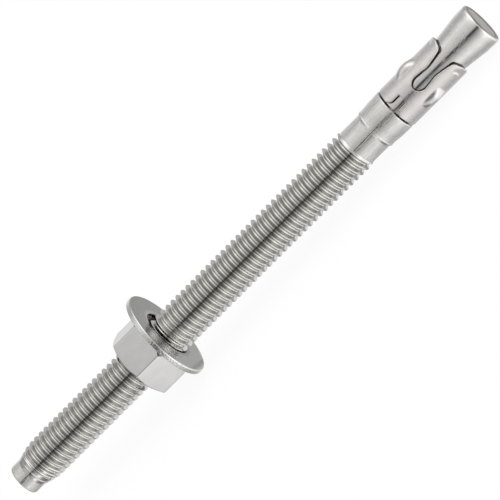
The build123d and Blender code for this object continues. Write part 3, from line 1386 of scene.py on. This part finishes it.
    @staticmethod
    def within(points: np.ndarray, loop: np.ndarray) -> np.ndarray:
        """Which points a closed loop goes round.

        Args:
            points: Rows of two coordinates.
            loop: The loop's corners, as such rows.

        Returns:
            True for each point inside.
        """
        inside = np.zeros(len(points), bool)
        for start, end in zip(loop, np.roll(loop, -1, axis=0)):
            if start[1] != end[1]:
                share = (points[:, 1] - start[1]) / (end[1] - start[1])
                beside = points[:, 0] < start[0] + share * (end[0] - start[0])
                inside ^= (share >= 0) & (share < 1) & beside
        return inside

    @staticmethod
    def distance(points: np.ndarray, segments: np.ndarray) -> np.ndarray:
        """The distance from each point to the nearest of some straight segments.

        Args:
            points: Rows of two coordinates.
            segments: Pairs of such rows.

        Returns:
            A distance for each point.
        """
        best = np.full(len(points), np.inf)
        for start, end in segments:
            run = end - start
            share = np.clip((points - start) @ run / (run @ run), 0, 1)
            gap = points - start - share[:, None] * run
            best = np.minimum(best, np.hypot(*gap.T))
        return best


# ---- flat washer -----------------------------------------------------------------------------
@dataclass(frozen=True)
class FlatWasher:
    """Punched ring, with a rounded edge where the punch went in and a burred one behind."""

    axis: AnchorAxis
    rear: float = 57.03
    front: float = 58.58
    outer_radius: float = 13.6
    hole_radius: float = 7.10
    front_edge: float = 0.34
    rear_edge: float = 0.16
    face_rings: tuple[float, float, float] = (8.6, 10.4, 12.2)     # radii of the mesh's own
    around: int = 144

    def build(self, steel: bpy.types.Material) -> bpy.types.Object:
        """Mesh the washer and dress it.

        Args:
            steel: Its material.

        Returns:
            The finished piece.
        """
        draft = MeshDraft()
        middle = (self.rear + self.front) / 2
        profile = rounded_profile([
            Corner(middle, self.hole_radius),
            Corner(self.front, self.hole_radius, self.front_edge),
            *(Corner(self.front, radius) for radius in self.face_rings),
            Corner(self.front, self.outer_radius, self.front_edge),
            Corner(middle, self.outer_radius),
            Corner(self.rear, self.outer_radius, self.rear_edge),
            Corner(self.rear, self.face_rings[1]),
            Corner(self.rear, self.hole_radius, self.rear_edge),
            Corner(middle, self.hole_radius),
        ], steps=6)[:-1]
        turns = np.linspace(0, 2 * math.pi, self.around, endpoint=False)
        rows = [draft.add(self.axis.place(x, r, turns)) for x, r in profile]
        draft.rings([*rows, rows[0]])
        return draft.build("flat_washer_ring", steel)


# ---- hex nut ---------------------------------------------------------------------------------
@dataclass(frozen=True)
class HexNut:
    """Hexagonal nut with chamfered ends, softened corners and a threaded bore."""

    axis: AnchorAxis
    thread: Thread
    rear: float = 46.05
    front: float = 57.03
    half_across_flats: float = 9.35
    first_corner: float = 13.5      # its turn, in degrees
    corner_rounding: float = 0.42
    crease_rounding: float = 0.20
    rear_face_radius: float = 8.75
    rear_chamfer: float = 30.0      # in degrees
    front_face_radius: float = 9.45
    front_chamfer: float = 55.0
    bore_rim: float = 6.65
    bore_minor: float = 5.36
    bore_clearance: float = 0.09
    bore_blend: float = 0.05
    countersink: float = 45.0       # in degrees
    face_ring: float = 7.6          # radius of the mesh's own ring on each face
    flat_columns: int = 12
    bore_rows: int = 132

    def build(self, steel: bpy.types.Material) -> bpy.types.Object:
        """Mesh the nut and dress it.

        Args:
            steel: Its material.

        Returns:
            The finished piece.
        """
        draft = MeshDraft()
        outline = self.outline()
        columns = np.array([self.outside(radius) for radius, _ in outline])
        turns = outline[:, 1]
        outer = [draft.add(self.axis.place(columns[:, k, 0], columns[:, k, 1], turns))
                 for k in range(columns.shape[1])]
        stations = np.linspace(self.front, self.rear, self.bore_rows + 1)[1:-1]
        bore = [draft.add(self.axis.place(x, self.bore_radius(x, turns), turns))
                for x in stations]
        draft.rings([*outer, *bore, outer[0]])
        return draft.build("hex_nut_body", steel)

    def outline(self) -> np.ndarray:
        """The hexagon with its corners softened.

        Returns:
            Rows of radius and turn.
        """
        half = self.half_across_flats
        back = self.corner_rounding * math.tan(math.radians(30))
        edge = half * math.tan(math.radians(30)) - back
        flat = [(half, y) for y in np.linspace(-edge, edge, self.flat_columns)]
        centre = (half - self.corner_rounding, edge)
        arc = [(centre[0] + self.corner_rounding * math.cos(a),
                centre[1] + self.corner_rounding * math.sin(a))
               for a in np.radians(np.linspace(0, 60, 7))[1:-1]]
        found = []
        for side in range(6):
            middle = math.radians(self.first_corner + 30 + 60 * side)
            found += [(math.hypot(x, y), middle + math.atan2(y, x)) for x, y in flat + arc]
        return np.array(found)

    def outside(self, radius: float) -> np.ndarray:
        """The profile from the bore's rear rim over the outside to its front rim.

        Args:
            radius: The outline's radius at this turn.

        Returns:
            Rows of station and radius.
        """
        rear_face = min(radius - 0.1, self.rear_face_radius)
        front_face = min(radius - 0.1, self.front_face_radius)
        rear_drop = (radius - rear_face) * math.tan(math.radians(self.rear_chamfer))
        front_drop = (radius - front_face) * math.tan(math.radians(self.front_chamfer))
        return rounded_profile([
            Corner(self.rear, self.bore_rim),
            Corner(self.rear, self.face_ring),
            Corner(self.rear, rear_face, self.crease_rounding),
            Corner(self.rear + rear_drop, radius, self.crease_rounding),
            Corner((self.rear + self.front) / 2, radius),
            Corner(self.front - front_drop, radius, self.crease_rounding),
            Corner(self.front, front_face, self.crease_rounding),
            Corner(self.front, self.face_ring),
            Corner(self.front, self.bore_rim),
        ], steps=4)

    def bore_radius(self, station: float, turn: np.ndarray) -> np.ndarray:
        """Radii in the bore: the thread's grooves, opened at both ends by a countersink.

        Args:
            station: A station in millimetres.
            turn: Turns in radians.

        Returns:
            The radii.
        """
        groove = self.thread.radius(station, turn) + self.bore_clearance
        groove = soft_most(groove, self.bore_minor, self.bore_blend)
        depth = min(station - self.rear, self.front - station)
        sink = self.bore_rim - depth / math.tan(math.radians(self.countersink))
        return soft_most(groove, sink, 0.04)


# ---- studio ----------------------------------------------------------------------------------
@dataclass(frozen=True)
class Viewpoint:
    """Where the camera stands, told by how the anchor lies in its view."""

    axis: AnchorAxis
    station: float = 90.93          # that lies nearest to the middle of the view
    aside: float = 0.787            # how far the middle of the view lies up-left of the axis
    facing: float = 63.5            # the turn that faces the camera, in degrees
    tilt: float = 15.0              # how much nearer the camera the head is than the tail
    lean: float = 44.977            # of the anchor in the view, from level
    distance: float = 844.27
    lens: float = 229.28
    sensor: float = 36.0

    def spread(self, turn: float) -> Vector:
        """The direction away from the axis at an angle, in degrees, from the facing side."""
        return self.axis.outward(math.radians(self.facing + turn))

    def build(self) -> bpy.types.Object:
        """Make the camera and give it to the scene.

        Returns:
            The camera.
        """
        tilt, lean = math.radians(self.tilt), math.radians(self.lean)
        along, across = self.axis.along, self.spread(90)
        back = along * math.sin(tilt) + self.spread(0) * math.cos(tilt)
        run = (along - back * math.sin(tilt)) / math.cos(tilt)
        right = run * math.cos(lean) + across * math.sin(lean)
        upward = run * math.sin(lean) - across * math.cos(lean)
        aim = self.axis.tail + along * self.station * MM - across * self.aside * MM
        lens = bpy.data.cameras.new("camera")
        lens.lens, lens.sensor_width = self.lens, self.sensor
        lens.clip_start, lens.clip_end = 0.01, 100.0
        camera = bpy.data.objects.new("camera", lens)
        bpy.context.scene.collection.objects.link(camera)
        turned = Matrix((right, upward, back)).transposed().to_4x4()
        camera.matrix_world = Matrix.Translation(aim + back * self.distance * MM) @ turned
        bpy.context.scene.camera = camera
        return camera


@dataclass(frozen=True)
class Patch:
    """A patch of the surroundings, which fades in over ranges of angle and of the way's run."""

    angles: tuple[tuple[float, float], ...]     # each from none of it to all of it, in degrees
    runs: tuple[float, float]                   # the same, where 0 is to the tail and 1 the head
    strength: float

    def share(self, angle: Wire, run: Wire) -> Wire:
        """How strong the patch is one way from the anchor.

        Args:
            angle: The way's angle from the camera's side, in degrees.
            run: How far it runs along the anchor, from 0 to the tail to 1 to the head.

        Returns:
            Its strength there.
        """
        found = run.between(*self.runs) * self.strength
        for none, full in self.angles:
            found = found * angle.between(none, full)
        return found


@dataclass(frozen=True)
class Studio:
    """A pale floor, one broad soft lamp overhead, and the surroundings that the steel mirrors.

    The surroundings are pale, with a dark strip on the camera's side that runs the way the
    anchor does. They fade past its two ends, where lamps of their own stand. Their angles are
    in degrees from the camera's side, positive below the anchor and negative above it.
    """

    view: Viewpoint
    floor_size: float = 8.0
    floor_grey: float = 0.93        # of its matt part, on which the shadow falls
    lamp_size: float = 0.9
    lamp_height: float = 0.95
    lamp_behind: float = 0.15
    lamp_power: float = 0.80
    shown_white: float = 0.93       # share of the floor's own white that the camera sees
    mirrored_shadow: float = 0.45    # painted shadow: brightness of the floor close under the anchor, as the steel mirrors it
    mirrored_shadow_reach: float = 2.0      # of that painted shadow in the steel, in millimetres
    # Brightness round the anchor, by the angle
    surroundings: tuple[tuple[float, float], ...] = (
        (-180, 0.60), (-168, 0.85), (-158, 1.05), (-142, 0.90), (-120, 0.66), (-100, 0.63),
        (-90, 0.74), (-80, 0.95), (-64, 1.19), (-40, 0.98), (-12, 0.72), (-8, 0.56),
        (-5, 0.28), (-3, 0.07), (3, 0.06), (7, 0.22), (12, 0.37), (20, 0.56), (30, 0.78),
        (42, 1.05), (52, 1.22), (61, 1.31), (71, 1.28), (81, 1.12), (91, 0.92), (103, 0.70),
        (120, 0.60), (135, 0.66), (150, 0.74), (164, 0.92), (180, 0.60))
    # How much of that is left, by how far the way runs to the head (1) or to the tail (-1)
    fading: tuple[tuple[float, float], ...] = (
        (-1.0, 0.95), (-0.80, 0.95), (-0.71, 0.42), (-0.56, 0.42), (-0.49, 0.92), (-0.36, 1.0),
        (0.80, 1.0), (0.93, 0.30), (1.0, 0.25))
    # What the lamps past the two ends add, by the same
    end_lamps: tuple[tuple[float, float], ...] = (
        (-1.0, 0.55), (-0.93, 0.45), (-0.84, 0.0), (-0.16, 0.0), (0.0, 0.42), (0.12, 0.90),
        (0.50, 0.98), (0.80, 0.75), (0.92, 0.30), (1.0, 0.0))
    # And the share of it, by the angle
    lamps_round: tuple[tuple[float, float], ...] = (
        (-125, 0.0), (-95, 0.9), (-62, 1.0), (-32, 0.45), (-16, 0.1), (0, 0.05), (20, 0.45),
        (40, 0.65), (46, 0.85), (54, 1.35), (61, 0.9), (68, 0.55), (85, 0.75), (118, 0.95),
        (150, 0.3), (170, 0.0))
    # Past the tail, what fades comes back overhead, and more than that in a glint below
    overhead: Patch = Patch(((-80, -95),), (0.30, 0.02), 1.0)
    glint: Patch = Patch(((44, 53), (90, 60)), (0.30, 0.02), 2.1)
    # Behind the anchor it is dimmer from its middle to the head
    shade: Patch = Patch(((-108, -130),), (0.40, 0.52), 0.35)
    # The strip ends in a glow past the head, and in a faint one past the tail
    head_glow: Patch = Patch(((-22, -6), (22, 6)), (0.68, 0.78), 0.6)
    tail_glow: Patch = Patch(((-22, -6), (22, 6)), (0.26, 0.18), 0.07)

    def build(self) -> None:
        """Make the floor, the lamp and the surroundings, and set how colours are shown."""
        self.build_floor()
        self.build_lamp()
        self.build_surroundings()
        bpy.context.scene.view_settings.view_transform = "Standard"

    def build_floor(self) -> None:
        """Lay the floor, white to the eye but with the anchor's shadow on it."""
        half = self.floor_size / 2
        mesh = bpy.data.meshes.new("floor")
        corners = [(-half, -half, 0), (half, -half, 0), (half, half, 0), (-half, half, 0)]
        mesh.from_pydata(corners, [], [(0, 1, 2, 3)])
        paint = bpy.data.materials.new("floor_white")
        paint.use_nodes = True
        sheet = NodeSheet(paint.node_tree)
        point = sheet.node("ShaderNodeTexCoord", output="Object")
        away = abs(sheet.dot(point, (0.0, 1.0 / MM, 0.0)))
        close = away.between(self.mirrored_shadow_reach, self.mirrored_shadow_reach * 0.3)
        seen, mirrored, through = (
            sheet.node("ShaderNodeLightPath", output=name)
            for name in ("Is Camera Ray", "Is Glossy Ray", "Is Transmission Ray"))
        # The camera and glass see the floor white; the steel sees a painted shadow close under the
        # anchor
        glow = sheet.node("ShaderNodeEmission", None, {
            "Color": seen + through + mirrored * self.mirrored_shadow, "Strength": 1.0})
        matt = sheet.node("ShaderNodeBsdfDiffuse", None, {
            "Color": (self.floor_grey, self.floor_grey, self.floor_grey, 1.0)})
        clear = sheet.node("ShaderNodeBsdfTransparent")
        share = (seen + through) * self.shown_white + mirrored
        laid = sheet.node("ShaderNodeMixShader", None, {0: share, 1: matt, 2: glow})
        shader = sheet.node("ShaderNodeMixShader", None, {
            0: mirrored * (1 - close), 1: laid, 2: clear})
        sheet.node("ShaderNodeOutputMaterial", None, {"Surface": shader})
        mesh.materials.append(paint)
        floor = bpy.data.objects.new("floor", mesh)
        bpy.context.scene.collection.objects.link(floor)

    def build_lamp(self) -> None:
        """Hang the broad lamp overhead, a little behind the anchor."""
        light = bpy.data.lights.new("overhead", "AREA")
        light.shape, light.size, light.energy = "SQUARE", self.lamp_size, self.lamp_power
        lamp = bpy.data.objects.new("overhead", light)
        lamp.location = (0.0, self.lamp_behind, self.lamp_height)
        lamp.visible_glossy = False
        bpy.context.scene.collection.objects.link(lamp)

    def build_surroundings(self) -> None:
        """Light the room, and show it plain white to the camera."""
        world = bpy.data.worlds.new("room")
        world.use_nodes = True
        bpy.context.scene.world = world
        sheet = NodeSheet(world.node_tree)
        room, white = (
            sheet.node("ShaderNodeBackground", None, {"Color": colour, "Strength": 1.0})
            for colour in (self.brightness(sheet), (1.0, 1.0, 1.0, 1.0)))
        seen = sheet.node("ShaderNodeLightPath", output="Is Camera Ray")
        shader = sheet.node("ShaderNodeMixShader", None, {0: seen, 1: room, 2: white})
        sheet.node("ShaderNodeOutputWorld", None, {"Surface": shader})

    def brightness(self, sheet: NodeSheet) -> Wire:
        """How bright the surroundings are, each way from the anchor.

        Args:
            sheet: The node tree that it is worked out in.

        Returns:
            The brightness.
        """
        way = sheet.node("ShaderNodeTexCoord", output="Generated")
        across, toward = (sheet.dot(way, self.view.spread(turn)) for turn in (90, 0))
        angle = sheet.node(
            "ShaderNodeMath", {"operation": "ARCTAN2"}, {0: across, 1: toward}) * (180 / math.pi)
        along = sheet.dot(way, self.view.axis.along)
        run = (along + 1) / 2
        pale, lit = (self.read(sheet, table, 180.0, angle)
                     for table in (self.surroundings, self.lamps_round))
        left, lamps = (self.read(sheet, table, 1.0, along)
                       for table in (self.fading, self.end_lamps))
        back = self.glint.share(angle, run) + self.overhead.share(angle, run)
        left = (left + (1 - left) * back) * (1 - self.shade.share(angle, run))
        glow = self.head_glow.share(angle, run) + self.tail_glow.share(angle, run)
        return pale * left + lamps * lit + glow

    @staticmethod
    def read(sheet: NodeSheet, table: Sequence[tuple[float, float]], reach: float,
             place: Wire) -> Wire:
        """Read a table of brightnesses from 0 to 2.

        Args:
            sheet: The node tree.
            table: Places from -reach to reach, and the brightness at each.
            reach: Half the table's length.
            place: Where to read it.

        Returns:
            The brightness there.
        """
        stops = [((at / reach + 1) / 2, grey / 2) for at, grey in table]
        return sheet.node(
            "ShaderNodeValToRGB", {"stops": stops}, {"Fac": (place / reach + 1) / 2}) * 2.0


# ---- everything together ---------------------------------------------------------------------
def fit(piece: bpy.types.Object, node: str) -> None:
    """Put a piece in its node's place.

    Args:
        piece: The finished piece.
        node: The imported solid, and the body, that it stands for.
    """
    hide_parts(node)
    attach(piece, node)
    low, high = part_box(node)
    corners = np.array([v.co for v in piece.data.vertices])
    proud = max(*(np.array(low) - corners.min(0)), *(corners.max(0) - np.array(high))) / MM
    log.info("%s: %d faces, %.3f mm outside its solid's box",
             piece.name, len(piece.data.polygons), proud)


def main() -> None:
    """Build the studio and the anchor's four pieces, and note both boxes."""
    joints = {joint["name"]: joint for joint in frame["joints"]}
    axis = AnchorAxis.from_joint(joints["clip_turn"], CLIP_TURN_STATION)
    washer_axis = axis.raised(WASHER_RISE)
    thread = Thread()
    view = Viewpoint(axis)
    view.build()
    Studio(view).build()

    stud_steel = StudSteel(
        "stud_steel", colour=(0.63, 0.62, 0.60), soil_and_shade=(0.35, 0.32, 0.26), roughness=0.12,
        grain=Grain.LENGTHWISE).build(axis)
    # The clip's dark filter is painted shade on the sheet's edge walls
    clip_steel = SheetSteel(
        "clip_steel", colour=(0.625, 0.60, 0.588), soil_and_shade=(0.10, 0.09, 0.08), roughness=0.13,
        grain_pitch=0.1, grain_depth=0.0003, ripple_depth=0.002, matt_level=0.40).build(axis)
    washer_steel = WasherSteel(
        "washer_steel", colour=(0.58, 0.58, 0.57), soil_and_shade=(0.35, 0.33, 0.31), roughness=0.20,
        grain_depth=0.0004).build(washer_axis)
    nut_steel = NutSteel(
        "nut_steel", colour=(0.610, 0.592, 0.588), soil_and_shade=(0.10, 0.09, 0.08), roughness=0.18,
        grain_depth=0.0002, ripple_pitch=5.0, mottle=0.02, line_shade=0.02).build(axis)

    fit(Stud(axis, thread).build(stud_steel), "stud")
    fit(ExpansionClip(axis).build(clip_steel), "expansion_clip")
    fit(FlatWasher(washer_axis).build(washer_steel), "flat_washer")
    fit(HexNut(axis, thread).build(nut_steel), "hex_nut")


if __name__ == "__main__":
    main()
